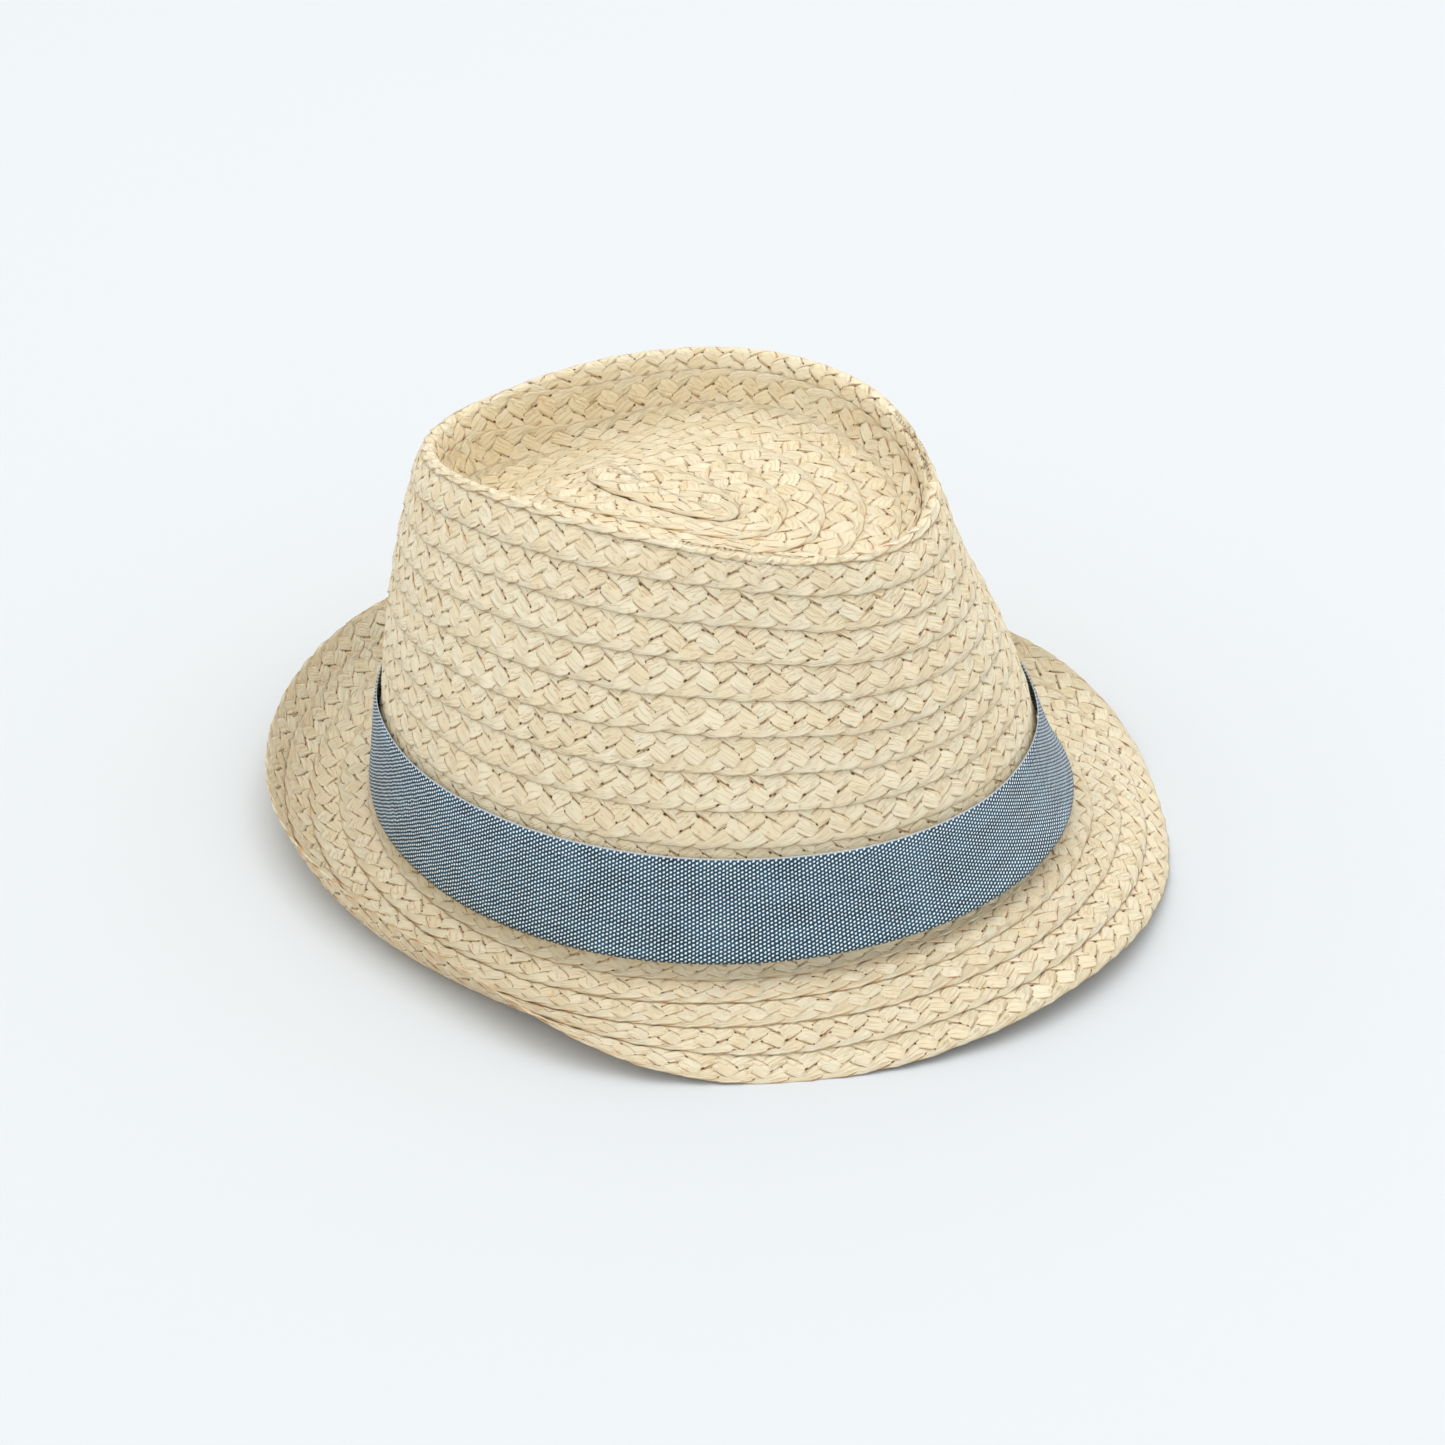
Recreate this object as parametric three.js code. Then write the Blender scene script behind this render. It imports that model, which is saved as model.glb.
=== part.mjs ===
// A sewn-straw trilby: one flat plait of paper straw wound from the middle of the crown out to the
// brim edge, with a chambray band round the crown and a cotton sweatband inside it.
// Millimetres, +Z up. The wearer looks along -Y and the wearer's left is +X.
// An angle runs round the crown: 0 is the wearer's left, 90 the back, -90 the front.
import * as THREE from 'three';

const DEG = Math.PI / 180;
const FULL_TURN = 2 * Math.PI;
const FRONT = -90 * DEG;
const BACK = 90 * DEG;

// The hat stands with the middle of its box over the origin and its lowest point at height 0.
const STAND_SHIFT = new THREE.Vector3(0, 0.5, 10.7);

// Crown, measured on the hidden inner face of the straw.
const BASE_HALF_WIDTH = 81.7;
const BASE_HALF_LENGTH = 93.2;
const BASE_HEIGHT = { mean: -3.4, toBack: -5.3, atSides: -2.2 };
const CREST_HALF_WIDTH = 55.2;
const CREST_HALF_LENGTH = 80.2;
const CREST_SET_BACK = 13;
const CREST_HEIGHT = { mean: 106.6, toBack: -8, atSides: 6.2 };
const SIDE_BULGE = 6.6;
const BASE_FLARE = 9;
const FLARE_REACH = 0.27; // of the side's height
const PINCH = { depth: 6, fromFront: 44, spread: 22, height: 0.78, rise: 0.26 };

// The dent in the crown.
const DENT_DEPTH_BACK = 22;
const DENT_DEPTH_FRONT = 13;
const DENT_WALL_INSET = 11;
const DENT_WALL_SHARE = 0.3; // of the way from the crest to the middle line
const TIP_LINE_HALF_LENGTH = 14;
const TIP_LINE_SET_BACK = 18;
const TIP_DOME = 3;

// The brim at 0, 45, 90, 135 and 180 degrees from the front: its width, and its slopes in degrees
// at the crown and at the edge.
const BRIM_WIDTH = [36, 36, 36.5, 40, 39.5];
const BRIM_SLOPE_INNER = [-8, -10, -20, -11, -1];
const BRIM_SLOPE_EDGE = [-24, -35, 72, 60, 56];
const BRIM_ROLL = { start: 0.24, end: 0.92 }; // where the slope changes, as shares of the width

// The plait. A course is one turn; a course's outer edge lies over the next one's inner edge.
const TIP_COURSES = 7;
const SIDE_COURSES = 12;
const BRIM_COURSES = 4;
const COURSES = TIP_COURSES + SIDE_COURSES + BRIM_COURSES;
const OVERLAP = 0.3; // of a course's pitch
const PLAIT_THICKNESS = 1;
const OUTER_LIFT = 2.05; // how far a course's outer edge stands off the surface
const GAP = 0.35; // between pieces that touch
const STEP_START = 45 * DEG; // each turn steps out by one course between these two angles
const STEP_END = 95 * DEG;
const MIDDLE_CLEARANCE = 0.03; // courses, keeps the first turn off itself
const TAIL_TURN_UNDER = 14 * DEG; // the plait's end dips under its own edge over this angle

const SEGMENTS = 44; // flats round one turn
const FOLD_ROUNDING = { tip: 1, brim: 0.55 }; // courses each way, at the crest and at the brim
const TIP_ROUNDING_ENDS = 9; // the course where the one takes over from the other
// Flats across a course, the first of these runs of courses that it falls in. There are more where
// it lies over the crest, and some where it follows the dent's wall or the brim's fold and roll.
const FLATS_ACROSS = [
  { first: 5, last: 7, flats: 5 },
  { first: 2, last: 8, flats: 3 },
  { first: 17, last: 22, flats: 3 },
  { first: 0, last: 22, flats: 1 },
];
const flatsAcross = (index) => FLATS_ACROSS.find((run) => index >= run.first && index <= run.last).flats;

// Band, sweatband and label.
const BAND = {
  top: 15.55, // top and bottom are places down the crown, in courses
  bottom: 18.45,
  thickness: 0.8,
  standOff: 3.7,
  flare: 1.6,
  start: 15 * DEG,
  lap: 9 * DEG,
};
const BAND_LAP_RAMP = 8 * DEG;
const SWEATBAND = { top: 16.1, bottom: 18.8, thickness: 0.8, standIn: 0.6 };
const LABEL = { width: 14, length: 20, thickness: 0.7, clearance: 1.1, topDrop: 0.1 };

const MATERIALS = {
  straw: { color: 0xe9ddb9, roughness: 0.72, metalness: 0 },
  chambray: { color: 0x5f7f9f, roughness: 0.9, metalness: 0 },
  cotton: { color: 0xe8e2d2, roughness: 0.9, metalness: 0 },
  label: { color: 0xf4f1ea, roughness: 0.8, metalness: 0 },
};

const smooth = (x) => {
  const t = THREE.MathUtils.clamp(x, 0, 1);
  return t * t * (3 - 2 * t);
};
const frontness = (angle) => 0.5 * (1 - Math.sin(angle));
const degreesFromFront = (angle) => {
  const turn = angle - FRONT;
  return Math.abs(Math.atan2(Math.sin(turn), Math.cos(turn))) / DEG;
};
const heightAround = (height, angle) =>
  height.mean + height.toBack * Math.sin(angle) + height.atSides * Math.cos(2 * angle);

// A smooth curve through five values, from the front round to the back.
function around(angle, values) {
  const place = degreesFromFront(angle) / 45;
  const i = Math.min(3, Math.floor(place));
  const t = place - i;
  const [a, b, c, d] = [values[Math.abs(i - 1)], values[i], values[i + 1], values[i === 3 ? 3 : i + 2]];
  const square = 2 * a - 5 * b + 4 * c - d;
  const cube = 3 * b - a - 3 * c + d;
  return 0.5 * (2 * b + (c - a) * t + square * t * t + cube * t * t * t);
}

function crestPoint(angle) {
  const x = CREST_HALF_WIDTH * Math.cos(angle);
  const y = CREST_HALF_LENGTH * Math.sin(angle) + CREST_SET_BACK;
  return new THREE.Vector3(x, y, heightAround(CREST_HEIGHT, angle));
}

function basePoint(angle) {
  const x = BASE_HALF_WIDTH * Math.cos(angle);
  const y = BASE_HALF_LENGTH * Math.sin(angle);
  return new THREE.Vector3(x, y, heightAround(BASE_HEIGHT, angle));
}

function outward(angle) {
  const x = Math.cos(angle) / BASE_HALF_WIDTH;
  const y = Math.sin(angle) / BASE_HALF_LENGTH;
  return new THREE.Vector3(x, y, 0).normalize();
}

// height 0 is where the brim starts and 1 is the crest.
function sidePoint(angle, height) {
  const aside = (degreesFromFront(angle) - PINCH.fromFront) / PINCH.spread;
  const above = (height - PINCH.height) / PINCH.rise;
  const pinch = PINCH.depth * Math.exp(-aside * aside - above * above);
  const bulge = SIDE_BULGE * 4 * height * (1 - height);
  const flare = BASE_FLARE * Math.exp(-height / FLARE_REACH);
  const point = basePoint(angle).lerp(crestPoint(angle), height);
  return point.addScaledVector(outward(angle), bulge + flare - pinch);
}

// share 0 is the crest and 1 is the line in the middle of the dent.
function tipPoint(angle, share) {
  const crest = crestPoint(angle);
  const front = frontness(angle);
  const reach = Math.hypot(crest.x, crest.y - TIP_LINE_SET_BACK);
  const keep = 1 - DENT_WALL_INSET / reach;
  const floor = new THREE.Vector3(
    crest.x * keep,
    TIP_LINE_SET_BACK + (crest.y - TIP_LINE_SET_BACK) * keep,
    crest.z - THREE.MathUtils.lerp(DENT_DEPTH_BACK, DENT_DEPTH_FRONT, front),
  );
  const middle = new THREE.Vector3(
    0,
    TIP_LINE_SET_BACK + TIP_LINE_HALF_LENGTH * Math.sin(angle),
    CREST_HEIGHT.mean - 0.5 * (DENT_DEPTH_BACK + DENT_DEPTH_FRONT) + TIP_DOME,
  );
  const onWall = share < DENT_WALL_SHARE;
  const [from, to] = onWall ? [crest, floor] : [floor, middle];
  const t = onWall ? share / DENT_WALL_SHARE : (share - DENT_WALL_SHARE) / (1 - DENT_WALL_SHARE);
  const point = from.clone().lerp(to, t);
  point.z = THREE.MathUtils.lerp(from.z, to.z, smooth(t));
  return point;
}

function brimPoints(angle, steps) {
  const inner = around(angle, BRIM_SLOPE_INNER);
  const edge = around(angle, BRIM_SLOPE_EDGE);
  const away = outward(angle);
  const point = sidePoint(angle, 0);
  const stride = around(angle, BRIM_WIDTH) / steps;
  const points = [point.clone()];
  for (let i = 0; i < steps; i += 1) {
    const share = (i + 0.5) / steps;
    const turn = smooth((share - BRIM_ROLL.start) / (BRIM_ROLL.end - BRIM_ROLL.start));
    const slope = THREE.MathUtils.lerp(inner, edge, turn) * DEG;
    point.addScaledVector(away, stride * Math.cos(slope));
    point.z += stride * Math.sin(slope);
    points.push(point.clone());
  }
  return points;
}

// Three runs from the middle to the brim edge, each as a curve that is walked at an even pace.
const FINE_STEPS = 40;
const meridians = new Map();
function meridian(angle) {
  const key = Math.round((angle / DEG) * 100);
  if (!meridians.has(key)) {
    const shares = Array.from({ length: FINE_STEPS + 1 }, (_, i) => i / FINE_STEPS);
    const runs = [
      shares.map((t) => tipPoint(angle, 1 - t)),
      shares.map((t) => sidePoint(angle, 1 - t)),
      brimPoints(angle, FINE_STEPS),
    ];
    meridians.set(key, runs.map(evenCurve));
  }
  return meridians.get(key);
}

function evenCurve(points) {
  const curve = new THREE.CurvePath();
  for (let i = 1; i < points.length; i += 1) {
    curve.add(new THREE.LineCurve3(points[i - 1], points[i]));
  }
  return curve;
}

// course counts turns from the middle of the tip: 0 there, COURSES + OVERLAP at the brim edge.
function sharpPoint(angle, course) {
  const [tip, side, brim] = meridian(angle);
  if (course < TIP_COURSES) {
    return tip.getPoint(Math.max(0, course / TIP_COURSES));
  }
  const onSide = course - TIP_COURSES;
  if (onSide < SIDE_COURSES) {
    return side.getPoint(onSide / SIDE_COURSES);
  }
  return brim.getPoint(Math.min(1, (onSide - SIDE_COURSES) / (BRIM_COURSES + OVERLAP)));
}

const ROUNDING_WEIGHTS = [1, 2, 3, 4, 3, 2, 1]; // a tent of places either side of the fold
const ROUNDING_MIDDLE = (ROUNDING_WEIGHTS.length - 1) / 2;
const ROUNDING_TOTAL = ROUNDING_WEIGHTS.reduce((sum, weight) => sum + weight);
function surfacePoint(angle, course) {
  const rounding = course < TIP_ROUNDING_ENDS ? FOLD_ROUNDING.tip : FOLD_ROUNDING.brim;
  const reach = Math.min(rounding, course, COURSES + OVERLAP - course);
  const point = new THREE.Vector3();
  ROUNDING_WEIGHTS.forEach((weight, i) => {
    const away = (reach * (i - ROUNDING_MIDDLE)) / ROUNDING_MIDDLE;
    point.addScaledVector(sharpPoint(angle, course + away), weight / ROUNDING_TOTAL);
  });
  return point;
}

const SLOPE_STEP = 0.02; // courses across and radians along, for the surface's slopes
function surfaceNormal(angle, course) {
  const low = Math.max(course - SLOPE_STEP, MIDDLE_CLEARANCE);
  const high = Math.min(course + SLOPE_STEP, COURSES + OVERLAP);
  const along = surfacePoint(angle + SLOPE_STEP, course).sub(surfacePoint(angle - SLOPE_STEP, course));
  const across = surfacePoint(angle, high).sub(surfacePoint(angle, low));
  return across.cross(along).normalize();
}

function offsetPoint(angle, course, height) {
  return surfacePoint(angle, course).addScaledVector(surfaceNormal(angle, course), height);
}

// A closed body through a row of cross-sections, each a ring of points with the same count.
function loft(sections) {
  const count = sections[0].length;
  const positions = sections.flat().flatMap((p) => p.toArray());
  const faces = [];
  for (let s = 1; s < sections.length; s += 1) {
    for (let i = 0; i < count; i += 1) {
      const a = (s - 1) * count + i;
      const b = (s - 1) * count + ((i + 1) % count);
      faces.push(a, b, b + count, a, b + count, a + count);
    }
  }
  const last = (sections.length - 1) * count;
  for (let i = 1; i < count / 2; i += 1) {
    const [a, b, c, d] = [i - 1, i, count - 1 - i, count - i];
    faces.push(a, d, c, a, c, b);
    faces.push(last + a, last + b, last + c, last + a, last + c, last + d);
  }
  const geometry = new THREE.BufferGeometry();
  geometry.setAttribute('position', new THREE.Float32BufferAttribute(positions, 3));
  geometry.setIndex(faces);
  geometry.computeVertexNormals();
  return geometry;
}

// The section of a strip: out along its upper face and back along its lower one.
function stripSection(top, bottom) {
  return [...top, ...bottom.reverse()];
}

function anglesBetween(start, end) {
  const steps = Math.max(1, Math.round(((end - start) / FULL_TURN) * SEGMENTS));
  return Array.from({ length: steps + 1 }, (_, i) => start + ((end - start) * i) / steps);
}

function plaitTurn(index) {
  const isLast = index === COURSES - 1;
  const start = STEP_END;
  const end = STEP_END + FULL_TURN;
  const radius = surfacePoint(start, index + 1).distanceTo(surfacePoint(start + Math.PI, index + 1)) / 2;
  const endGap = (0.5 * GAP) / radius;
  const flats = flatsAcross(index);
  const shares = Array.from({ length: flats + 1 }, (_, i) => i / flats);
  const sections = anglesBetween(start + endGap, end - endGap).map((angle) => {
    const step = smooth((angle - (STEP_START + FULL_TURN)) / (STEP_END - STEP_START));
    const course = Math.max(index, MIDDLE_CLEARANCE) + (isLast ? 0 : step);
    const intoTail = (angle - (STEP_START + FULL_TURN) + TAIL_TURN_UNDER) / TAIL_TURN_UNDER;
    const under = isLast ? smooth(intoTail) : 0;
    const sink = under * (PLAIT_THICKNESS + GAP);
    const face = (height) => shares.map((share) => {
      const raise = OUTER_LIFT * share * (1 - under) - sink;
      return offsetPoint(angle, course + share * (1 + OVERLAP), raise + height);
    });
    return stripSection(face(PLAIT_THICKNESS), face(0));
  });
  return loft(sections);
}

const BAND_STATIONS = 4;
function stations(top, bottom) {
  return Array.from({ length: BAND_STATIONS }, (_, i) => top + ((bottom - top) * i) / (BAND_STATIONS - 1));
}

function hatBand() {
  const end = BAND.start + FULL_TURN;
  const angles = [...anglesBetween(BAND.start, end), end + BAND.lap];
  const sections = angles.map((angle) => {
    const over = smooth((angle - end + BAND_LAP_RAMP) / BAND_LAP_RAMP) * (BAND.thickness + GAP);
    const rows = stations(BAND.top, BAND.bottom);
    const height = (row) => {
      const down = (row - BAND.top) / (BAND.bottom - BAND.top);
      return BAND.standOff + BAND.flare * down * down + over;
    };
    return stripSection(
      rows.map((row) => offsetPoint(angle, row, height(row) + BAND.thickness)),
      rows.map((row) => offsetPoint(angle, row, height(row))),
    );
  });
  return loft(sections);
}

function sweatband() {
  const endGap = (0.5 * GAP) / BASE_HALF_LENGTH;
  const sections = anglesBetween(BACK + endGap, BACK + FULL_TURN - endGap).map((angle) => {
    const rows = stations(SWEATBAND.top, SWEATBAND.bottom);
    return stripSection(
      rows.map((row) => offsetPoint(angle, row, -SWEATBAND.standIn)),
      rows.map((row) => offsetPoint(angle, row, -SWEATBAND.standIn - SWEATBAND.thickness)),
    );
  });
  return loft(sections);
}

// A folded tape that hangs straight down from the sweatband's upper edge at the centre back.
function label() {
  const depth = SWEATBAND.standIn + SWEATBAND.thickness + LABEL.clearance + LABEL.thickness / 2;
  const top = offsetPoint(BACK, SWEATBAND.top + LABEL.topDrop, -depth);
  const geometry = new THREE.BoxGeometry(LABEL.width, LABEL.thickness, LABEL.length);
  geometry.translate(top.x, top.y, top.z - LABEL.length / 2);
  return geometry;
}

function addPiece(group, name, geometry, finish) {
  const material = new THREE.MeshStandardMaterial(MATERIALS[finish]);
  const mesh = new THREE.Mesh(geometry, material);
  mesh.name = name;
  group.add(mesh);
}

function courseName(index) {
  if (index < TIP_COURSES) {
    return `tip_course_${index + 1}`;
  }
  if (index < TIP_COURSES + SIDE_COURSES) {
    return `side_course_${index + 1 - TIP_COURSES}`;
  }
  return `brim_course_${index + 1 - TIP_COURSES - SIDE_COURSES}`;
}

const hat = new THREE.Group();
for (let index = 0; index < COURSES; index += 1) {
  addPiece(hat, courseName(index), plaitTurn(index), 'straw');
}
addPiece(hat, 'hat_band', hatBand(), 'chambray');
addPiece(hat, 'sweatband', sweatband(), 'cotton');
addPiece(hat, 'size_label', label(), 'label');
hat.position.copy(STAND_SHIFT);

export default hat;
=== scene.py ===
import math
import bmesh
import bpy
import numpy as np
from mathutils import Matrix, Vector


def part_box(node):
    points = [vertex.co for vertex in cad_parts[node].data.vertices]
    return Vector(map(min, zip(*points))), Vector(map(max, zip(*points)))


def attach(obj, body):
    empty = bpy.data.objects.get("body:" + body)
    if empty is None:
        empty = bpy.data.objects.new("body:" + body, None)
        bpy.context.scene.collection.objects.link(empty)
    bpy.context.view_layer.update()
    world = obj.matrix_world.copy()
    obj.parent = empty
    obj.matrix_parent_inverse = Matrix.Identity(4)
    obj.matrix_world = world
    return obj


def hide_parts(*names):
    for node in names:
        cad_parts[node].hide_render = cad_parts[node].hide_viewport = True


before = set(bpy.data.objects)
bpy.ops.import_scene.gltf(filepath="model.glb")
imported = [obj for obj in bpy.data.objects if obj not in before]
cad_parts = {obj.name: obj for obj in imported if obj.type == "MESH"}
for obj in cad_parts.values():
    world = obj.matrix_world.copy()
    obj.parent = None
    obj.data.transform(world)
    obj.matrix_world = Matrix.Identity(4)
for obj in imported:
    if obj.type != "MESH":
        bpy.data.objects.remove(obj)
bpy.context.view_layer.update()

mm = 0.001
fullTurn = 2 * math.pi

# the form of the hat, in millimetres: the surface the straw lies on
# its dent is a little deeper and steeper than in the solids
hat = {
    "standShift": (0, 0.5, 10.7),
    "baseHalfWidth": 81.7,
    "baseHalfLength": 93.2,
    "baseHeight": (-3.4, -5.3, -2.2),  # mean, towards the back, at the sides
    "crestHalfWidth": 55.2,
    "crestHalfLength": 80.2,
    "crestSetBack": 13,
    "crestHeight": (106.6, -8, 6.2),
    "sideBulge": 6.6,
    "baseFlare": 9,
    "flareReach": 0.27,
    "pinch": {"depth": 6, "fromFront": 44, "spread": 22, "height": 0.78, "rise": 0.26},
    "dentDepthBack": 24,
    "dentDepthFront": 15,
    "dentWallInset": 6.5,
    "dentWallShare": 0.3,
    "tipLineHalfLength": 14,
    "tipLineSetBack": 18,
    "tipDome": 3,
    "brimWidth": (36, 36, 36.5, 40, 39.5),  # from the front round to the back, each 45 degrees
    "brimSlopeInner": (-8, -10, -20, -11, -1),  # degrees
    "brimSlopeEdge": (-24, -35, 72, 60, 56),
    "brimRoll": (0.24, 0.92),
    "tipCourses": 7,
    "sideCourses": 12,
    "brimCourses": 4,
    "overlap": 0.3,
    "foldRoundingTip": 0.75,
    "foldRoundingBrim": 0.55,
    "tipRoundingEnds": 9,
}
courses = hat["tipCourses"] + hat["sideCourses"] + hat["brimCourses"]
lastCourse = courses + hat["overlap"]


def smooth(x):
    t = np.clip(x, 0, 1)
    return t * t * (3 - 2 * t)


def mix(a, b, t):
    return a + (b - a) * t


def fromFront(angle):
    turn = angle + math.pi / 2
    return abs(math.degrees(math.atan2(math.sin(turn), math.cos(turn))))


def heightAround(height, angle):
    return height[0] + height[1] * math.sin(angle) + height[2] * math.cos(2 * angle)


def around(angle, values):
    place = fromFront(angle) / 45
    i = min(3, int(place))
    t = place - i
    a, b, c = values[abs(i - 1)], values[i], values[i + 1]
    d = values[3] if i == 3 else values[i + 2]
    square = 2 * a - 5 * b + 4 * c - d
    cube = 3 * b - a - 3 * c + d
    return 0.5 * (2 * b + (c - a) * t + square * t * t + cube * t * t * t)


def crestPoint(angle):
    x = hat["crestHalfWidth"] * math.cos(angle)
    y = hat["crestHalfLength"] * math.sin(angle) + hat["crestSetBack"]
    return np.array([x, y, heightAround(hat["crestHeight"], angle)])


def outward(angle):
    away = np.array([math.cos(angle) / hat["baseHalfWidth"], math.sin(angle) / hat["baseHalfLength"], 0])
    return away / np.linalg.norm(away)


def sideLine(angle, height):
    base = np.array([
        hat["baseHalfWidth"] * math.cos(angle),
        hat["baseHalfLength"] * math.sin(angle),
        heightAround(hat["baseHeight"], angle),
    ])
    pinch = hat["pinch"]
    aside = (fromFront(angle) - pinch["fromFront"]) / pinch["spread"]
    above = (height - pinch["height"]) / pinch["rise"]
    out = hat["sideBulge"] * 4 * height * (1 - height)
    out = out + hat["baseFlare"] * np.exp(-height / hat["flareReach"])
    out = out - pinch["depth"] * np.exp(-aside * aside - above * above)
    return mix(base, crestPoint(angle), height[:, None]) + out[:, None] * outward(angle)


def tipLine(angle, share):
    crest = crestPoint(angle)
    back = hat["tipLineSetBack"]
    keep = 1 - hat["dentWallInset"] / math.hypot(crest[0], crest[1] - back)
    depth = mix(hat["dentDepthBack"], hat["dentDepthFront"], 0.5 * (1 - math.sin(angle)))
    floor = np.array([crest[0] * keep, back + (crest[1] - back) * keep, crest[2] - depth])
    meanDepth = 0.5 * (hat["dentDepthBack"] + hat["dentDepthFront"])
    middle = np.array([
        0,
        back + hat["tipLineHalfLength"] * math.sin(angle),
        hat["crestHeight"][0] - meanDepth + hat["tipDome"],
    ])
    wall = hat["dentWallShare"]
    onWall = share < wall
    t = np.where(onWall, share / wall, (share - wall) / (1 - wall))
    start = np.where(onWall[:, None], crest, floor)
    end = np.where(onWall[:, None], floor, middle)
    line = mix(start, end, t[:, None])
    line[:, 2] = mix(start[:, 2], end[:, 2], smooth(t))
    return line


def brimLine(angle, steps):
    inner = around(angle, hat["brimSlopeInner"])
    edge = around(angle, hat["brimSlopeEdge"])
    share = (np.arange(steps) + 0.5) / steps
    start, end = hat["brimRoll"]
    slope = np.radians(mix(inner, edge, smooth((share - start) / (end - start))))
    stride = around(angle, hat["brimWidth"]) / steps
    moves = np.cos(slope)[:, None] * outward(angle) + np.sin(slope)[:, None] * np.array([0, 0, 1.0])
    first = sideLine(angle, np.array([0.0]))
    return np.concatenate([first, first + np.cumsum(moves * stride, axis=0)])


def lengthAlong(line):
    return np.concatenate([[0], np.cumsum(np.linalg.norm(np.diff(line, axis=0), axis=1))])


def evenWalk(line, share):
    place = lengthAlong(line)
    return np.stack([np.interp(share * place[-1], place, line[:, i]) for i in range(3)], axis=-1)


# the surface as a table over the angle round the hat and the course, counted from the tip's middle
table = {"angles": 241, "coursesApart": 0.05, "fine": 40, "foldWeights": (1, 2, 3, 4, 3, 2, 1)}


def laySurface():
    shares = np.linspace(0, 1, table["fine"] + 1)
    rows = int(round(lastCourse / table["coursesApart"])) + 1
    course = np.linspace(0, lastCourse, rows)
    rounding = np.where(course < hat["tipRoundingEnds"], hat["foldRoundingTip"], hat["foldRoundingBrim"])
    reach = np.minimum(np.minimum(rounding, course), lastCourse - course)
    weights = table["foldWeights"]
    middle = len(weights) // 2
    points = []
    for angle in np.linspace(0, fullTurn, table["angles"]):
        tip = tipLine(angle, 1 - shares)
        side = sideLine(angle, 1 - shares)
        brim = brimLine(angle, table["fine"])
        line = np.zeros((rows, 3))
        for i, weight in enumerate(weights):
            at = course + reach * (i - middle) / middle
            onTip = evenWalk(tip, np.clip(at / hat["tipCourses"], 0, 1))
            onSide = evenWalk(side, np.clip((at - hat["tipCourses"]) / hat["sideCourses"], 0, 1))
            brimAt = at - hat["tipCourses"] - hat["sideCourses"]
            onBrim = evenWalk(brim, np.clip(brimAt / (hat["brimCourses"] + hat["overlap"]), 0, 1))
            belowTip = np.where((brimAt < 0)[:, None], onSide, onBrim)
            sharp = np.where((at < hat["tipCourses"])[:, None], onTip, belowTip)
            line += sharp * weight / sum(weights)
        points.append(line)
    points = np.array(points)
    along = np.roll(points[:-1], -1, axis=0) - np.roll(points[:-1], 1, axis=0)
    along = np.concatenate([along, along[:1]])
    normals = np.cross(np.gradient(points, axis=1), along)
    normals[:, 0] = normals[:, 1]
    normals /= np.linalg.norm(normals, axis=2)[..., None]
    return points + np.array(hat["standShift"]), normals


surfacePoints, surfaceNormals = laySurface()


def onSurface(angle, course, height):
    a = (angle % fullTurn) / fullTurn * (table["angles"] - 1)
    c = np.clip(course, 0, lastCourse) / table["coursesApart"]
    i = np.minimum(a.astype(int), table["angles"] - 2)
    j = np.minimum(c.astype(int), surfacePoints.shape[1] - 2)
    s, t = (a - i)[..., None], (c - j)[..., None]

    def blendOf(grid):
        return mix(mix(grid[i, j], grid[i + 1, j], s), mix(grid[i, j + 1], grid[i + 1, j + 1], s), t)

    return blendOf(surfacePoints) + blendOf(surfaceNormals) * height[..., None]


print("surface is laid out")

# straw: one flat plait of five ribbons, wound course by course
plait = {
    "ribbons": 5,
    "cellLength": 9.2,  # along the plait, from one ribbon to the next
    "width": 11.7,
    "ribbonThickness": 0.26,
    "foldWidth": 2.2,  # a ribbon bunched where it turns back at an edge
    "foldRoundness": 0.8,  # 0 is a round wave, 1 a sharp zigzag
    "foldReach": 1.6,  # how far the bunching runs, in fold widths
    "fill": 1.04,
    "lift": 0.21,  # how far a ribbon rises and dips
    "crown": 0.05,  # how far its long edges curl down
    "foldCrown": 0.4,
    "foldLift": 0.14,
    "crinkle": 0.06,
    "crinklesPerCrossing": 1.4,
    "crossingRamp": 0.9,  # the share of a crossing over which a ribbon changes height
    "outerLift": 1.05,  # how far a course's outer edge stands off the surface
    "innerStart": -0.22,  # the first turn closes on the middle of the tip
    "tipFlatness": 0.62,  # the courses in the dent are pressed flatter
    "middle": 0.5,
    "stepsPerCrossing": 4,
    "facesAcross": 6,
    "stepStart": math.radians(45),
    "stepEnd": math.radians(95),
    "tailTurnUnder": math.radians(26),
    "tailSink": 0.85,
    "startSink": 0.75,  # the plait's first end lies under the turn that follows it
    "floorClear": 0.2,
    "spareAngle": 0.12,  # the length table runs a little past each turn
    "tableSteps": 500,
    "trueLine": 0.55,  # the line across the plait that keeps its own length
    "straightStart": 20.0,
    "seed": 11,
}
wobble = {"width": 0.09, "aside": 0.28, "height": 0.07, "tilt": 0.1, "tone": 0.5}
period = plait["ribbons"] * plait["cellLength"]
crossingsPerPeriod = 2 * plait["ribbons"]
overUnder = np.array([0, 1, -1, 1, -1, 0, 1, -1, 1, -1, 0])
chance = np.random.default_rng(plait["seed"])
draws = 4000
wander = {kind: chance.uniform(-1, 1, (plait["ribbons"], draws)) for kind in wobble}
crinkles = chance.uniform(-1, 1, (plait["ribbons"], draws, plait["facesAcross"] + 1))


def wanderOf(kind, ribbon, count):
    values = wander[kind][ribbon]
    i = np.floor(count).astype(int)
    return wobble[kind] * mix(values[i], values[i + 1], smooth(count - i))


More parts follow.
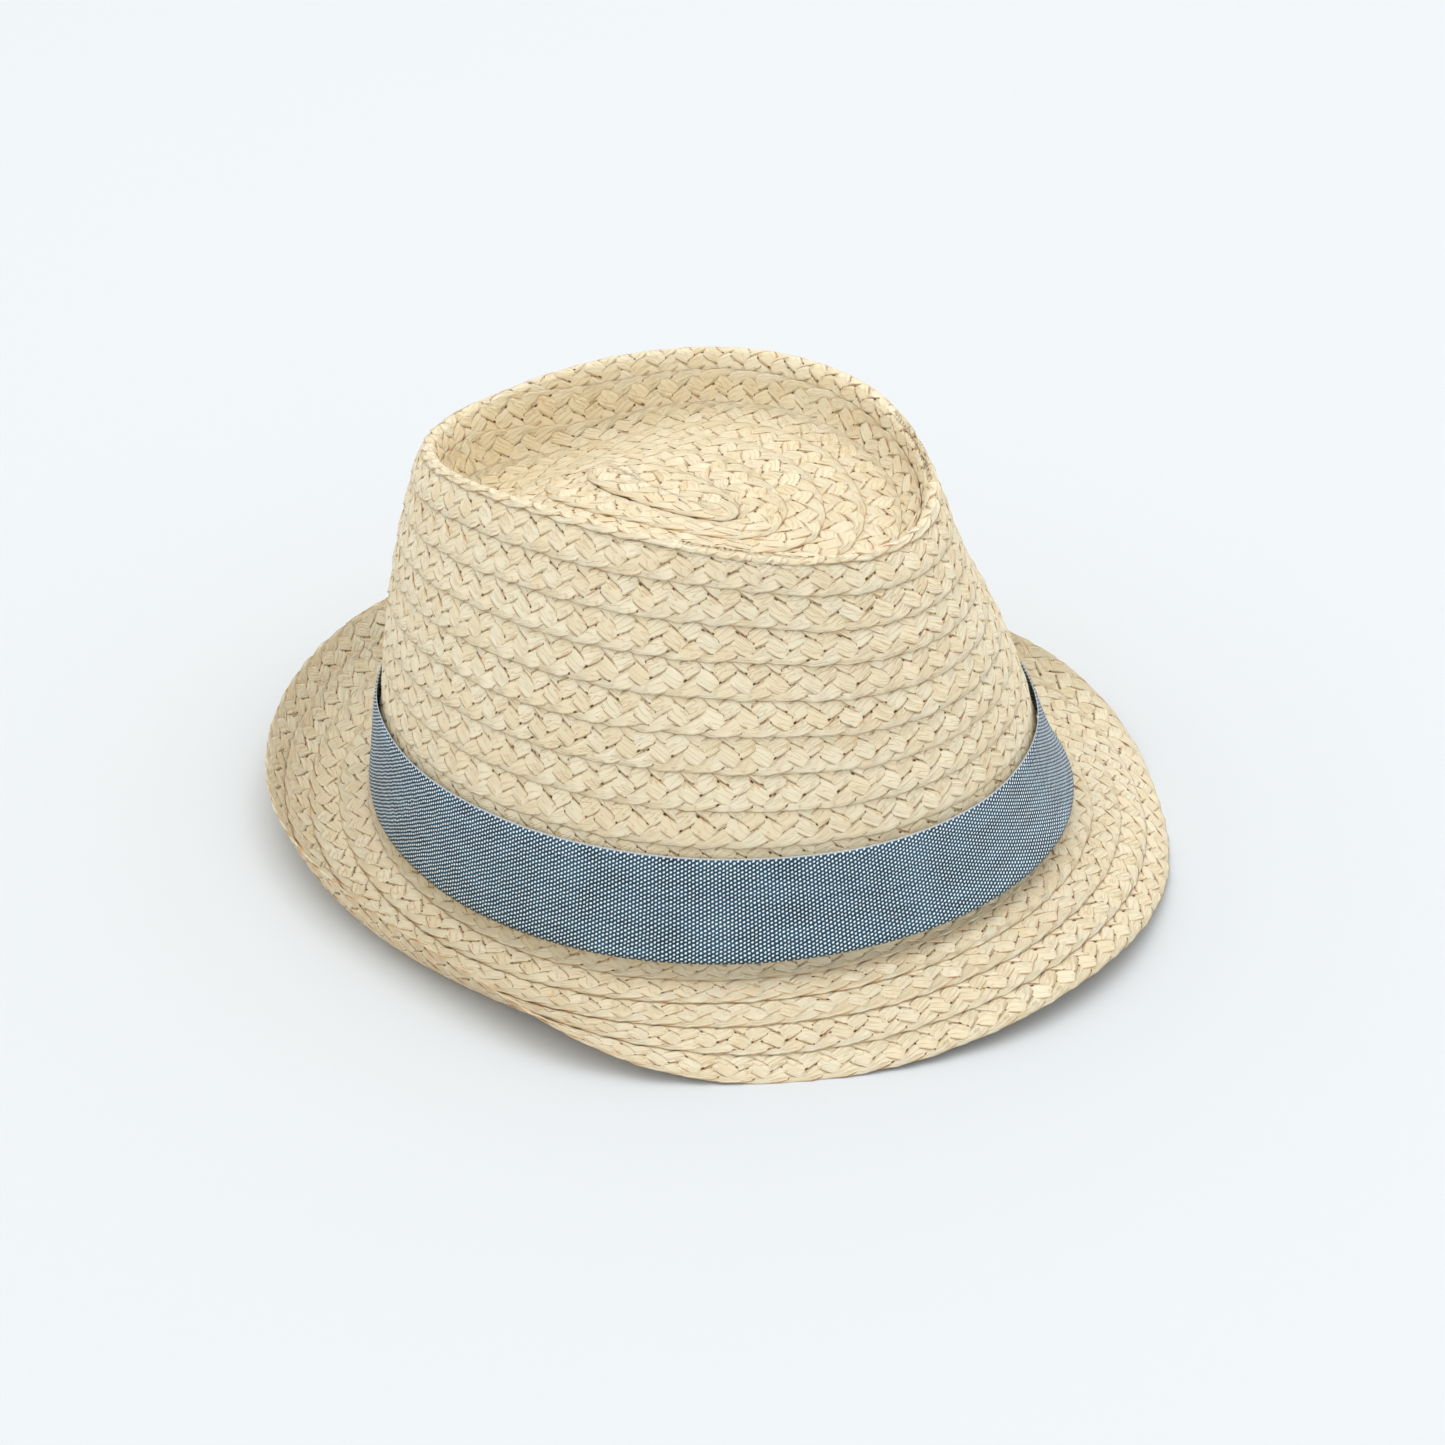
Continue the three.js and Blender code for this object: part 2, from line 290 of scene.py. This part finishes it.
def courseAt(turn, angle):
    past = angle - (plait["stepStart"] + fullTurn)
    if turn == courses - 1:  # the tail stays on its course and sinks under the turn before
        return turn + 0 * angle, smooth((past + plait["tailTurnUnder"]) / plait["tailTurnUnder"])
    step = smooth(past / (plait["stepEnd"] - plait["stepStart"]))
    return (turn or plait["innerStart"]) + step, 0 * angle


def ribbonGrid(turn, ribbon, along, lengthTable, angleTable):
    width, foldWidth, cell = plait["width"], plait["foldWidth"], plait["cellLength"]
    count = crossingsPerPeriod * (along / period + ribbon / plait["ribbons"])
    crossing = count % crossingsPerPeriod
    # a ribbon runs from edge to edge and back, and bunches up where it turns
    wave = math.pi * crossing / plait["ribbons"] - math.pi / 2
    k = plait["foldRoundness"]
    across = 0.5 + 0.5 * np.arcsin(k * np.sin(wave)) / math.asin(k)
    slope = 0.5 * k * np.cos(wave) / np.sqrt(1 - (k * np.sin(wave)) ** 2) / math.asin(k)
    lean = np.arctan(slope * fullTurn / period * (width - foldWidth))
    atFold = 1 - smooth(np.abs(np.sin(lean)) * cell / foldWidth / plait["foldReach"])
    ribbonWidth = np.maximum(cell * np.abs(np.sin(lean)) * plait["fill"], foldWidth)
    ribbonWidth = ribbonWidth * (1 + wanderOf("width", ribbon, count))
    middle = foldWidth / 2 + across * (width - foldWidth) + wanderOf("aside", ribbon, count)
    # it passes over and under the others
    knot = crossing.astype(int)
    rise = smooth((crossing - knot - 0.5) / plait["crossingRamp"] + 0.5)
    rise = mix(overUnder[knot], overUnder[knot + 1], rise)
    flat = plait["tipFlatness"] if turn < hat["tipCourses"] - 2 else 1
    height = plait["middle"] + flat * plait["lift"] * rise + plait["foldLift"] * atFold
    height = height + wanderOf("height", ribbon, count)
    crown = mix(plait["crown"], plait["foldCrown"], atFold)
    # its faces, from one long edge to the other
    q = np.linspace(1, -1, plait["facesAcross"] + 1)[None, :]
    side = 0.5 * ribbonWidth[:, None] * q
    lengthwise = along[:, None] - side * np.sin(lean)[:, None]
    share = (middle[:, None] + side * np.cos(lean)[:, None]) / width
    crease = plait["crinklesPerCrossing"] * count
    i = np.floor(crease).astype(int)
    crinkle = mix(crinkles[ribbon][i], crinkles[ribbon][i + 1], smooth(crease - i)[:, None])
    lift = height[:, None] - crown[:, None] * q * q + wanderOf("tilt", ribbon, count)[:, None] * q
    lift = lift + plait["crinkle"] * crinkle
    angle = np.interp(lengthwise, lengthTable, angleTable)
    course, under = courseAt(turn, angle)
    lift = lift + flat * plait["outerLift"] * np.clip(share, 0, 1) * (1 - under)
    lift = lift - under * plait["tailSink"]
    if turn == 0:
        stepping = (angle - plait["stepStart"]) / (plait["stepEnd"] - plait["stepStart"])
        lift = lift - plait["startSink"] * (1 - smooth(stepping))
    place = onSurface(angle, course + share * (1 + hat["overlap"]), lift)
    place[..., 2] = np.maximum(place[..., 2], plait["floorClear"])  # the brim's edge rests on the floor
    tone = np.repeat(wanderOf("tone", ribbon, count)[:, None] + 0.5, q.size, axis=1)
    # dip is 1 where the ribbon passes under another; the straw's colour puts painted shade there
    dip = np.repeat((0.5 - 0.5 * rise)[:, None], q.size, axis=1)
    return place * mm, tone, dip, atFold, count / crossingsPerPeriod * period


ribbonMarks = ("tone", "dip", "fold", "run", "side")  # kept on every vertex for the straw's colour and relief; dip also places its painted shade


def addRibbon(bm, layers, place, tone, dip, atFold, run):
    rows, columns = tone.shape
    made = bmesh.ops.create_grid(bm, x_segments=rows - 1, y_segments=columns - 1, size=1)
    for vert in made["verts"]:
        i = round((vert.co.x + 1) / 2 * (rows - 1))
        j = round((vert.co.y + 1) / 2 * (columns - 1))
        for name, value in zip(ribbonMarks, (tone[i, j], dip[i, j], atFold[i], run[i], j / (columns - 1))):
            vert[layers[name]] = value
        vert.co = place[i, j]


def courseName(turn, word):
    tip, side = hat["tipCourses"], hat["sideCourses"]
    if turn < tip:
        return f"tip_{word}_{turn + 1}"
    if turn < tip + side:
        return f"side_{word}_{turn + 1 - tip}"
    return f"brim_{word}_{turn + 1 - tip - side}"


def plaitTurn(turn, lengthSoFar, material):
    begin = plait["stepStart"] if turn == 0 else plait["stepEnd"]
    finish = plait["stepEnd"] + fullTurn
    angleTable = np.linspace(begin - plait["spareAngle"], finish + plait["spareAngle"], plait["tableSteps"])
    course = courseAt(turn, angleTable)[0] + plait["trueLine"] * (1 + hat["overlap"])
    lengthTable = lengthAlong(onSurface(angleTable, course, 1 + 0 * angleTable))
    start, end = np.interp([begin, finish], angleTable, lengthTable)
    lengthTable += lengthSoFar - start
    length = end - start
    steps = round(length / period * crossingsPerPeriod * plait["stepsPerCrossing"])
    along = np.linspace(lengthSoFar, lengthSoFar + length, steps + 1)
    bm = bmesh.new()
    layers = {name: bm.verts.layers.float.new(name) for name in ribbonMarks}
    for ribbon in range(plait["ribbons"]):
        addRibbon(bm, layers, *ribbonGrid(turn, ribbon, along, lengthTable, angleTable))
    mesh = bpy.data.meshes.new(courseName(turn, "plait"))
    for face in bm.faces:
        face.smooth = True
    bm.to_mesh(mesh)
    bm.free()
    mesh.materials.append(material)
    piece = bpy.data.objects.new(mesh.name, mesh)
    bpy.context.scene.collection.objects.link(piece)
    solidify = piece.modifiers.new("ribbon thickness", "SOLIDIFY")
    solidify.thickness = plait["ribbonThickness"] * mm
    solidify.offset = 0
    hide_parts(courseName(turn, "course"))
    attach(piece, "hat")
    return lengthSoFar + length


def nodeOf(tree, kind, inputs=None, **settings):
    node = tree.nodes.new(kind)
    for name, value in settings.items():
        setattr(node, name, value)
    for name, value in (inputs or {}).items():
        if isinstance(value, bpy.types.NodeSocket):
            tree.links.new(value, node.inputs[name])
        else:
            node.inputs[name].default_value = value
    return node


def newMaterial(name):
    material = bpy.data.materials.new(name)
    material.use_nodes = True
    tree = material.node_tree
    shader = next(n for n in tree.nodes if n.type == "BSDF_PRINCIPLED")
    return material, tree, shader


def attributeOf(tree, name):
    return nodeOf(tree, "ShaderNodeAttribute", attribute_name=name).outputs["Fac"]


def vectorOf(tree, x, y, z=0.0):
    return nodeOf(tree, "ShaderNodeCombineXYZ", {"X": x, "Y": y, "Z": z}).outputs[0]


def noiseOf(tree, place, scale, detail, roughness=0.5):
    inputs = {"Vector": place, "Scale": scale, "Detail": detail, "Roughness": roughness}
    return nodeOf(tree, "ShaderNodeTexNoise", inputs).outputs["Fac"]


def ramp(tree, value, start, end, low=0.0, high=1.0):
    return nodeOf(tree, "ShaderNodeMapRange", {0: value, 1: start, 2: end, 3: low, 4: high}).outputs[0]


def scaled(tree, value, factor):
    return calc(tree, "MULTIPLY", value, factor)


def bumpFrom(tree, shader, height, strength, distance):
    node = nodeOf(tree, "ShaderNodeBump", {"Strength": strength, "Distance": distance, "Height": height})
    tree.links.new(node.outputs[0], shader.inputs["Normal"])


# the straw's own colours and relief, and the colours of its painted shade in the dips, creases, ribbon gaps
# and corners
strawLookAndPaintedShade = {
    "pale": (0.98, 0.885, 0.655, 1),
    "mid": (0.92, 0.76, 0.48, 1),
    "tanPaintedShade": (0.66, 0.38, 0.14, 1),
    "edgeLineAndGapShade": (0.48, 0.22, 0.055, 1),
    "holeShade": (0.11, 0.045, 0.012, 1),
    "fibreStretch": (0.11, 13.0, 0.013),  # along the ribbon, across it, and the drift from fibre to fibre
    "creaseStretch": (0.16, 3.4),
    "streakStrength": 2.6,
    "toneStrength": 0.75,
    "roughness": 0.55,
    "specular": 0.35,
    "bumpDistance": 0.0005,
}


def calc(tree, operation, a, b=0.0, clamp=False):
    node = nodeOf(tree, "ShaderNodeMath", {0: a, 1: b}, operation=operation, use_clamp=clamp)
    return node.outputs[0]


def mixColour(tree, factor, a, b):
    node = nodeOf(tree, "ShaderNodeMix", data_type="RGBA")
    for value, i in ((factor, 0), (a, 6), (b, 7)):
        if isinstance(value, bpy.types.NodeSocket):
            tree.links.new(value, node.inputs[i])
        else:
            node.inputs[i].default_value = value
    return node.outputs[2]


def strawMaterial():
    material, tree, shader = newMaterial("paper_straw")
    tone, dip, fold, run, side = (attributeOf(tree, name) for name in ribbonMarks)
    # fibres and creases run along the ribbon
    alongScale, acrossScale, drift = strawLookAndPaintedShade["fibreStretch"]
    stretched = scaled(tree, run, alongScale)
    fibrePlace = vectorOf(tree, stretched, scaled(tree, side, acrossScale), scaled(tree, run, drift))
    fibre = noiseOf(tree, fibrePlace, 1.7, 5.0, 0.65)
    alongScale, acrossScale = strawLookAndPaintedShade["creaseStretch"]
    creasePlace = vectorOf(tree, scaled(tree, run, alongScale), scaled(tree, side, acrossScale))
    creaseLine = calc(tree, "ABSOLUTE", calc(tree, "SUBTRACT", noiseOf(tree, creasePlace, 1.0, 1.5), 0.5))
    crease = ramp(tree, creaseLine, 0.022, 0.0, 0.0, 0.55)
    patch = noiseOf(tree, creasePlace, 0.6, 2.0)
    streak = scaled(tree, calc(tree, "SUBTRACT", fibre, 0.48), strawLookAndPaintedShade["streakStrength"])
    shade = calc(tree, "ADD", scaled(tree, tone, strawLookAndPaintedShade["toneStrength"]), streak, True)
    base = mixColour(tree, shade, strawLookAndPaintedShade["pale"], strawLookAndPaintedShade["mid"])
    # painted shade: tan in the dips where a ribbon passes under another, and along the creases
    flat = calc(tree, "SUBTRACT", 1.0, fold, True)
    patchy = ramp(tree, patch, 0.38, 0.58)
    low = scaled(tree, ramp(tree, dip, 0.45, 1.0, 0.0, 0.4), flat)
    tanPaintedShade = calc(tree, "MAXIMUM", low, scaled(tree, crease, patchy))
    withTanShade = mixColour(tree, tanPaintedShade, base, strawLookAndPaintedShade["tanPaintedShade"])
    # a brown line along the long edges, fainter where the ribbon folds: partly the paper's own edge colour,
    # partly painted shadow in the gaps between the ribbons
    away = calc(tree, "ABSOLUTE", calc(tree, "SUBTRACT", side, 0.5))
    lineStrength = ramp(tree, patchy, 0.0, 1.0, 0.15, 0.8)
    lineStrength = scaled(tree, lineStrength, ramp(tree, fold, 0.0, 1.0, 1.0, 0.35))
    edgeLineAndGapShade = scaled(tree, ramp(tree, away, 0.42, 0.48), lineStrength)
    outlined = mixColour(tree, edgeLineAndGapShade, withTanShade, strawLookAndPaintedShade["edgeLineAndGapShade"])
    # painted shade: small dark spots at the corners of the crossings, standing in for the shade seen
    # through the gaps there
    crossing = calc(tree, "ABSOLUTE", calc(tree, "SUBTRACT", dip, 0.5))
    atCorner = scaled(tree, ramp(tree, crossing, 0.2, 0.08), calc(tree, "POWER", flat, 3.0))
    corner = scaled(tree, atCorner, ramp(tree, away, 0.35, 0.42))
    cornerHoleShade = scaled(tree, corner, ramp(tree, patch, 0.42, 0.52, 0.1, 1.0))
    tree.links.new(mixColour(tree, cornerHoleShade, outlined, strawLookAndPaintedShade["holeShade"]), shader.inputs["Base Color"])
    relief = calc(tree, "SUBTRACT", fibre, scaled(tree, crease, 0.6))
    bumpFrom(tree, shader, relief, 1.0, strawLookAndPaintedShade["bumpDistance"])
    shader.inputs["Roughness"].default_value = strawLookAndPaintedShade["roughness"]
    shader.inputs["Specular IOR Level"].default_value = strawLookAndPaintedShade["specular"]
    return material


straw = strawMaterial()
lengthSoFar = plait["straightStart"]
for turn in range(courses):
    lengthSoFar = plaitTurn(turn, lengthSoFar, straw)
print("straw is plaited,", round(lengthSoFar / 1000, 2), "metres")

# chambray band: a strip with both edges turned under
band = {
    "top": 15.55,  # down the crown, in courses
    "bottom": 18.45,
    "standOff": 2.95,
    "ease": 0.4,
    "tuck": 0.45,  # how far the top edge draws in towards the straw
    "tuckReach": 0.16,
    "flare": 2.0,
    "flarePower": 2.2,
    "looser": 1.9,  # more flare at the wearer's front left, less at the back right
    "looserAt": math.radians(-51),
    "clothThickness": 0.34,
    "hem": 6.5,
    "start": math.radians(15),
    "lap": math.radians(9),
    "lapRamp": math.radians(8),
    "lapLift": 1.15,
    "girthAt": 17,  # the course whose length is the strip's
    "courseHeight": 9.0,
    "layer": 0.2,  # from the strip's middle to either layer of a hem
    "foldRadius": 0.5,
    "ripple": 0.18,
    "columns": 260,
    "rows": 36,
    "flatWidth": 42.4,  # 28 showing and 7 under at each edge
}


def clothPiece(name, columns, rows, placeOf, thickness):
    bm = bmesh.new()
    layers = {key: bm.verts.layers.float.new(key) for key in ("lengthwise", "crosswise")}
    made = bmesh.ops.create_grid(bm, x_segments=columns, y_segments=rows, size=1)
    verts = made["verts"]
    s = np.array([(v.co.x + 1) / 2 for v in verts])
    t = np.array([(1 - v.co.y) / 2 for v in verts])
    places, lengthwise, crosswise = placeOf(s, t)
    for vert, place, a, b in zip(verts, places, lengthwise, crosswise):
        vert.co = place
        vert[layers["lengthwise"]] = a
        vert[layers["crosswise"]] = b
    for face in bm.faces:
        face.smooth = True
    mesh = bpy.data.meshes.new(name)
    bm.to_mesh(mesh)
    bm.free()
    piece = bpy.data.objects.new(name, mesh)
    bpy.context.scene.collection.objects.link(piece)
    solidify = piece.modifiers.new("cloth thickness", "SOLIDIFY")
    solidify.thickness = thickness * mm
    solidify.offset = 0
    return piece


def lengthAround(angles, course, height):
    return lengthAlong(onSurface(angles, course + 0 * angles, height + 0 * angles))


def lengthAt(angle, start, end, course, height):
    fine = np.linspace(start, end, 400)
    return np.interp(angle, fine, lengthAround(fine, course, height))


def girthOf(course, height):
    return lengthAround(np.linspace(0, fullTurn, 200), course, height)[-1]


def bandPlace(s, t):
    start, end = band["start"], band["start"] + fullTurn + band["lap"]
    angle = mix(start, end, s)
    lengthwise = lengthAt(angle, start, end, band["girthAt"], band["standOff"])
    height = (band["bottom"] - band["top"]) * band["courseHeight"]
    crosswise = t * (height + 2 * band["hem"]) - band["hem"]  # below 0 and past the height it is behind
    down = np.where(crosswise > height, 2 * height - crosswise, np.abs(crosswise))
    behind = np.clip(-crosswise, 0, None) + np.clip(crosswise - height, 0, None)
    share = down / height
    layer = np.where(behind > 0.01, -1, 1) * band["layer"]
    layer = layer * (1 - np.exp(-np.minimum(down, height - down) / band["foldRadius"]))
    lapping = (angle - (end - band["lap"]) + band["lapRamp"]) / band["lapRamp"]
    flare = band["flare"] + band["looser"] * np.cos(angle - band["looserAt"])
    ripple = band["ripple"] * np.sin(angle * 9 + 1.3) * np.sin(angle * 4 + 0.4) * (2 * share - 1)
    lift = band["standOff"] + band["ease"] - band["tuck"] * np.exp(-share / band["tuckReach"])
    lift = lift + flare * share ** band["flarePower"]
    lift = lift + layer + band["lapLift"] * smooth(lapping) + ripple
    course = mix(band["top"], band["bottom"], share)
    return onSurface(angle, course, lift) * mm, lengthwise, crosswise


chambrayFinish = {
    "dark": (0.006, 0.030, 0.056, 1),
    "lightBlue": (0.030, 0.10, 0.155, 1),
    "white": (0.92, 0.97, 1, 1),
    "threadPitch": 1.04,
    "dotHalfLength": 0.34,  # in thread pitches
    "dotHalfHeight": 0.27,
    "wobble": 0.5,
    "roughness": 0.85,
    "specular": 0.25,
    "sheen": 0.08,
    "bumpDistance": 0.00025,
}


def weaveDots(tree, along, across):
    # 0 at the middle of each white dot and 1 at its edge, every second column half a dot lower
    column = calc(tree, "DIVIDE", along, chambrayFinish["threadPitch"])
    shift = scaled(tree, calc(tree, "PINGPONG", calc(tree, "FLOOR", column), 1.0), 0.5)
    row = calc(tree, "ADD", calc(tree, "DIVIDE", across, chambrayFinish["threadPitch"]), shift)
    x = calc(tree, "SUBTRACT", calc(tree, "FRACT", column), 0.5)
    y = calc(tree, "SUBTRACT", calc(tree, "FRACT", row), 0.5)
    y = calc(tree, "ADD", y, scaled(tree, x, 0.3))
    x = calc(tree, "POWER", calc(tree, "DIVIDE", x, chambrayFinish["dotHalfLength"]), 2.0)
    y = calc(tree, "POWER", calc(tree, "DIVIDE", y, chambrayFinish["dotHalfHeight"]), 2.0)
    return calc(tree, "ADD", x, y)


def chambrayMaterial():
    material, tree, shader = newMaterial("chambray_cloth")
    along, across = attributeOf(tree, "lengthwise"), attributeOf(tree, "crosswise")
    flat = vectorOf(tree, along, across)
    aside = calc(tree, "SUBTRACT", noiseOf(tree, flat, 0.35, 1.0), 0.5)
    aside = scaled(tree, aside, chambrayFinish["wobble"])
    far = weaveDots(tree, calc(tree, "ADD", along, aside), calc(tree, "ADD", across, aside))
    mottle = noiseOf(tree, flat, 0.09, 3.0, 0.6)
    slub = noiseOf(tree, vectorOf(tree, scaled(tree, along, 0.06), scaled(tree, across, 0.9)), 1.0, 2.0)
    blue = ramp(tree, scaled(tree, calc(tree, "ADD", mottle, slub), 0.5), 0.36, 0.64)
    yarn = mixColour(tree, blue, chambrayFinish["dark"], chambrayFinish["lightBlue"])
    dot = scaled(tree, ramp(tree, far, 1.15, 0.6), ramp(tree, slub, 0.25, 0.7, 0.72, 1.0))
    topFold = ramp(tree, calc(tree, "ABSOLUTE", across), 0.45, 0.1, 0.0, 0.7)
    dot = calc(tree, "MAXIMUM", dot, topFold)
    tree.links.new(mixColour(tree, dot, yarn, chambrayFinish["white"]), shader.inputs["Base Color"])
    bumpFrom(tree, shader, dot, 0.5, chambrayFinish["bumpDistance"])
    shader.inputs["Roughness"].default_value = chambrayFinish["roughness"]
    shader.inputs["Specular IOR Level"].default_value = chambrayFinish["specular"]
    shader.inputs["Sheen Weight"].default_value = chambrayFinish["sheen"]
    return material


def buildBand():
    piece = clothPiece("chambray_band", band["columns"], band["rows"], bandPlace, band["clothThickness"])
    piece.data.materials.append(chambrayMaterial())
    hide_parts("hat_band")
    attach(piece, "hat")
    length = girthOf(band["girthAt"], band["standOff"]) * (1 + band["lap"] / fullTurn)
    print("band strip", round(length), "mm long")


buildBand()

# cotton sweatband inside the crown's foot
sweatband = {
    "top": 16.1,
    "bottom": 18.8,
    "middle": -1.0,  # inside the straw
    "thickness": 0.7,
    "flatWidth": 26.7,
    "girthAt": 17.4,
    "endGap": 0.002,  # the ends meet at the centre back
    "ripple": 0.12,
    "ripples": 23,
    "rippleReach": 0.12,
    "sinkAtTop": 0.25,
    "sinkReach": 0.08,
    "columns": 200,
    "rows": 16,
}


def sweatbandPlace(s, t):
    angle = math.pi / 2 + sweatband["endGap"] + s * (fullTurn - 2 * sweatband["endGap"])
    back = math.pi / 2
    lengthwise = lengthAt(angle, back, back + fullTurn, sweatband["girthAt"], sweatband["middle"])
    ripple = sweatband["ripple"] * np.sin(angle * sweatband["ripples"])
    ripple = ripple * np.exp(-t / sweatband["rippleReach"])
    lift = sweatband["middle"] - sweatband["sinkAtTop"] * np.exp(-t / sweatband["sinkReach"]) + ripple
    course = mix(sweatband["top"], sweatband["bottom"], t)
    return onSurface(angle, course, lift) * mm, lengthwise, t * sweatband["flatWidth"]


def tapeMaterial(name, pale, shade, rib, strength):
    material, tree, shader = newMaterial(name)
    along, across = attributeOf(tree, "lengthwise"), attributeOf(tree, "crosswise")
    slanted = calc(tree, "ADD", along, scaled(tree, across, rib["slant"]))
    ribs = calc(tree, "DIVIDE", calc(tree, "PINGPONG", slanted, rib["pitch"]), rib["pitch"])
    picks = calc(tree, "DIVIDE", calc(tree, "PINGPONG", across, rib["pick"]), rib["pick"])
    grain = noiseOf(tree, vectorOf(tree, along, across), 0.8, 3.0)
    # painted light and shade across the ribs: darker in the grooves and paler on the rib tops, following
    # the bump's height; the grain noise is the cloth's own tone
    height = calc(tree, "ADD", scaled(tree, ribs, 0.7), scaled(tree, picks, 0.3))
    light = calc(tree, "ADD", scaled(tree, height, 0.5), scaled(tree, grain, 0.5), True)
    tree.links.new(mixColour(tree, light, shade, pale), shader.inputs["Base Color"])
    bumpFrom(tree, shader, height, strength, 0.0002)
    shader.inputs["Roughness"].default_value = 0.85
    shader.inputs["Specular IOR Level"].default_value = 0.2
    return material


def buildSweatband():
    columns, rows = sweatband["columns"], sweatband["rows"]
    piece = clothPiece("cotton_sweatband", columns, rows, sweatbandPlace, sweatband["thickness"])
    twill = {"pitch": 0.35, "pick": 0.3, "slant": 1.0}
    # pale for the rib tops, shade for the painted shade in the grooves
    pale, shade = (0.80, 0.76, 0.66, 1), (0.52, 0.47, 0.37, 1)
    piece.data.materials.append(tapeMaterial("cotton_twill", pale, shade, twill, 0.5))
    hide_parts("sweatband")
    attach(piece, "hat")
    length = girthOf(sweatband["girthAt"], sweatband["middle"])
    print("sweatband strip", round(length), "mm long")


buildSweatband()

# size label: a folded tape that flaps from the sweatband's upper edge
label = {
    "layer": 0.2,  # from the tape's middle to either layer
    "thickness": 0.24,
    "foldRadius": 0.3,
    "sideSpare": 0.02,
    "drop": 0.985,
    "columns": 14,
    "rows": 44,
    "weaveWidth": 14,
    "flat": (0.0135, 0.040),  # in metres
}
labelLow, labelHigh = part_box("size_label")


def labelPlace(s, t):
    height = (labelHigh.z - labelLow.z) / mm
    run = t * 2 * height  # down the front and up the back
    goesUp = run > height
    down = np.where(goesUp, 2 * height - run, run)
    layer = np.where(goesUp, 1, -1) * label["layer"] * (1 - np.exp(-(height - down) / label["foldRadius"]))
    x = mix(labelLow.x, labelHigh.x, label["sideSpare"] + (1 - 2 * label["sideSpare"]) * s)
    y = (labelLow.y + labelHigh.y) / 2 + layer * mm
    z = labelHigh.z - down * mm * label["drop"]
    return np.stack([x, y, z], axis=-1), s * label["weaveWidth"], run


def buildLabel():
    piece = clothPiece("size_label_tape", label["columns"], label["rows"], labelPlace, label["thickness"])
    weave = {"pitch": 0.16, "pick": 0.22, "slant": 0.0}
    # pale for the rib tops, shade for the painted shade in the grooves
    pale, shade = (0.90, 0.88, 0.82, 1), (0.70, 0.67, 0.60, 1)
    piece.data.materials.append(tapeMaterial("label_satin", pale, shade, weave, 0.35))
    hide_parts("size_label")
    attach(piece, "label")


buildLabel()
print("band, sweatband and label are in")

# floor, light and camera
studio = {
    "floorSize": 12,
    "floorColour": (0.68, 0.705, 0.72, 1),
    "keyPower": 16,
    "keyPlace": (0.2, -0.1, 2.15),
    "keySize": 2.0,
    "keyColour": (1, 0.985, 0.96),
    "fillStrength": 1.08,
    "fillColour": (0.98, 0.99, 1, 1),
    "aim": (0, 0.0005, 0.05754),
    "azimuth": -50.53,
    "elevation": 31.66,
    "distance": 1.209,
    "lens": 105.9,
    "aimRight": 0.0025,
    "aimDown": 0.0222,
}


def buildStudio():
    bm = bmesh.new()
    bmesh.ops.create_grid(bm, x_segments=1, y_segments=1, size=studio["floorSize"] / 2)
    mesh = bpy.data.meshes.new("floor")
    bm.to_mesh(mesh)
    bm.free()
    floor = bpy.data.objects.new("floor", mesh)
    bpy.context.scene.collection.objects.link(floor)
    material, tree, shader = newMaterial("floor_paper")
    shader.inputs["Base Color"].default_value = studio["floorColour"]
    shader.inputs["Roughness"].default_value = 0.9
    shader.inputs["Specular IOR Level"].default_value = 0.1
    mesh.materials.append(material)

    world = bpy.data.worlds.new("studio")
    world.use_nodes = True
    fill = world.node_tree.nodes["Background"]
    fill.inputs["Color"].default_value = studio["fillColour"]
    fill.inputs["Strength"].default_value = studio["fillStrength"]
    bpy.context.scene.world = world

    light = bpy.data.lights.new("key", "AREA")
    light.size = studio["keySize"]
    light.energy = studio["keyPower"]
    light.color = studio["keyColour"]
    lamp = bpy.data.objects.new("key", light)
    lamp.location = studio["keyPlace"]
    lamp.rotation_mode = "QUATERNION"
    lamp.rotation_quaternion = (lamp.location - Vector(studio["aim"])).to_track_quat("Z", "Y")
    bpy.context.scene.collection.objects.link(lamp)


def buildCamera():
    azimuth, elevation = math.radians(studio["azimuth"]), math.radians(studio["elevation"])
    back = Vector((
        math.sin(azimuth) * math.cos(elevation),
        -math.cos(azimuth) * math.cos(elevation),
        math.sin(elevation),
    ))
    camera = bpy.data.cameras.new("camera")
    camera.lens = studio["lens"]
    camera.sensor_width = 36
    camera.clip_start, camera.clip_end = 0.05, 20
    stand = bpy.data.objects.new("camera", camera)
    eye = Vector(studio["aim"]) + back * studio["distance"]
    turned = (-back).to_track_quat("-Z", "Y")
    right, up = turned @ Vector((1, 0, 0)), turned @ Vector((0, 1, 0))
    target = Vector(studio["aim"]) + right * studio["aimRight"] - up * studio["aimDown"]
    stand.location = eye
    stand.rotation_mode = "QUATERNION"
    stand.rotation_quaternion = (target - eye).to_track_quat("-Z", "Y")
    bpy.context.scene.collection.objects.link(stand)
    bpy.context.scene.camera = stand


buildStudio()
buildCamera()
bpy.context.scene.view_settings.view_transform = "Standard"
print("studio is ready")
